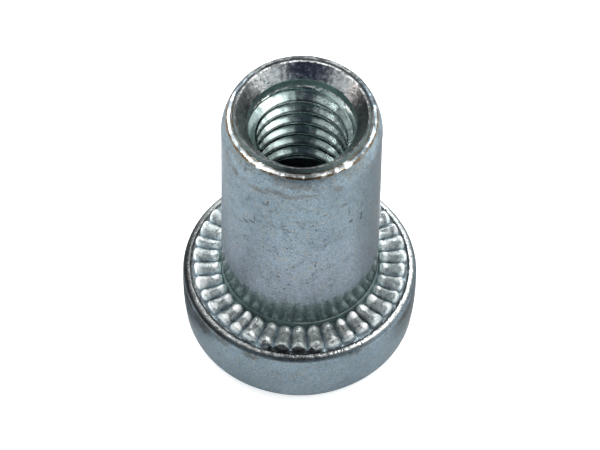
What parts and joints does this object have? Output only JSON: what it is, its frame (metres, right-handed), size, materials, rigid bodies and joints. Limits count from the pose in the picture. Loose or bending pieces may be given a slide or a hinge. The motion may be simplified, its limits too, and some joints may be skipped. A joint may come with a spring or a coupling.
{
  "type": "rivet nut",
  "caption": "Round-bodied blind rivet nut with a thick head, radial serrations under the head and an internal thread at the far end.",
  "frame": {"origin": "centre of the head's outer face, on the axis, where the nut stands", "axes": "+Z along the axis from the head to the threaded end; X and Y are equal, with a rib centred on +X"},
  "size_m": [0.0134, 0.0134, 0.0187],
  "materials": {
    "plated_steel": "dull zinc plating, semi-gloss, with bright worn edges"
  },
  "bodies": {
    "root": {"rivet_nut": "plated_steel"}
  },
  "joints": []
}
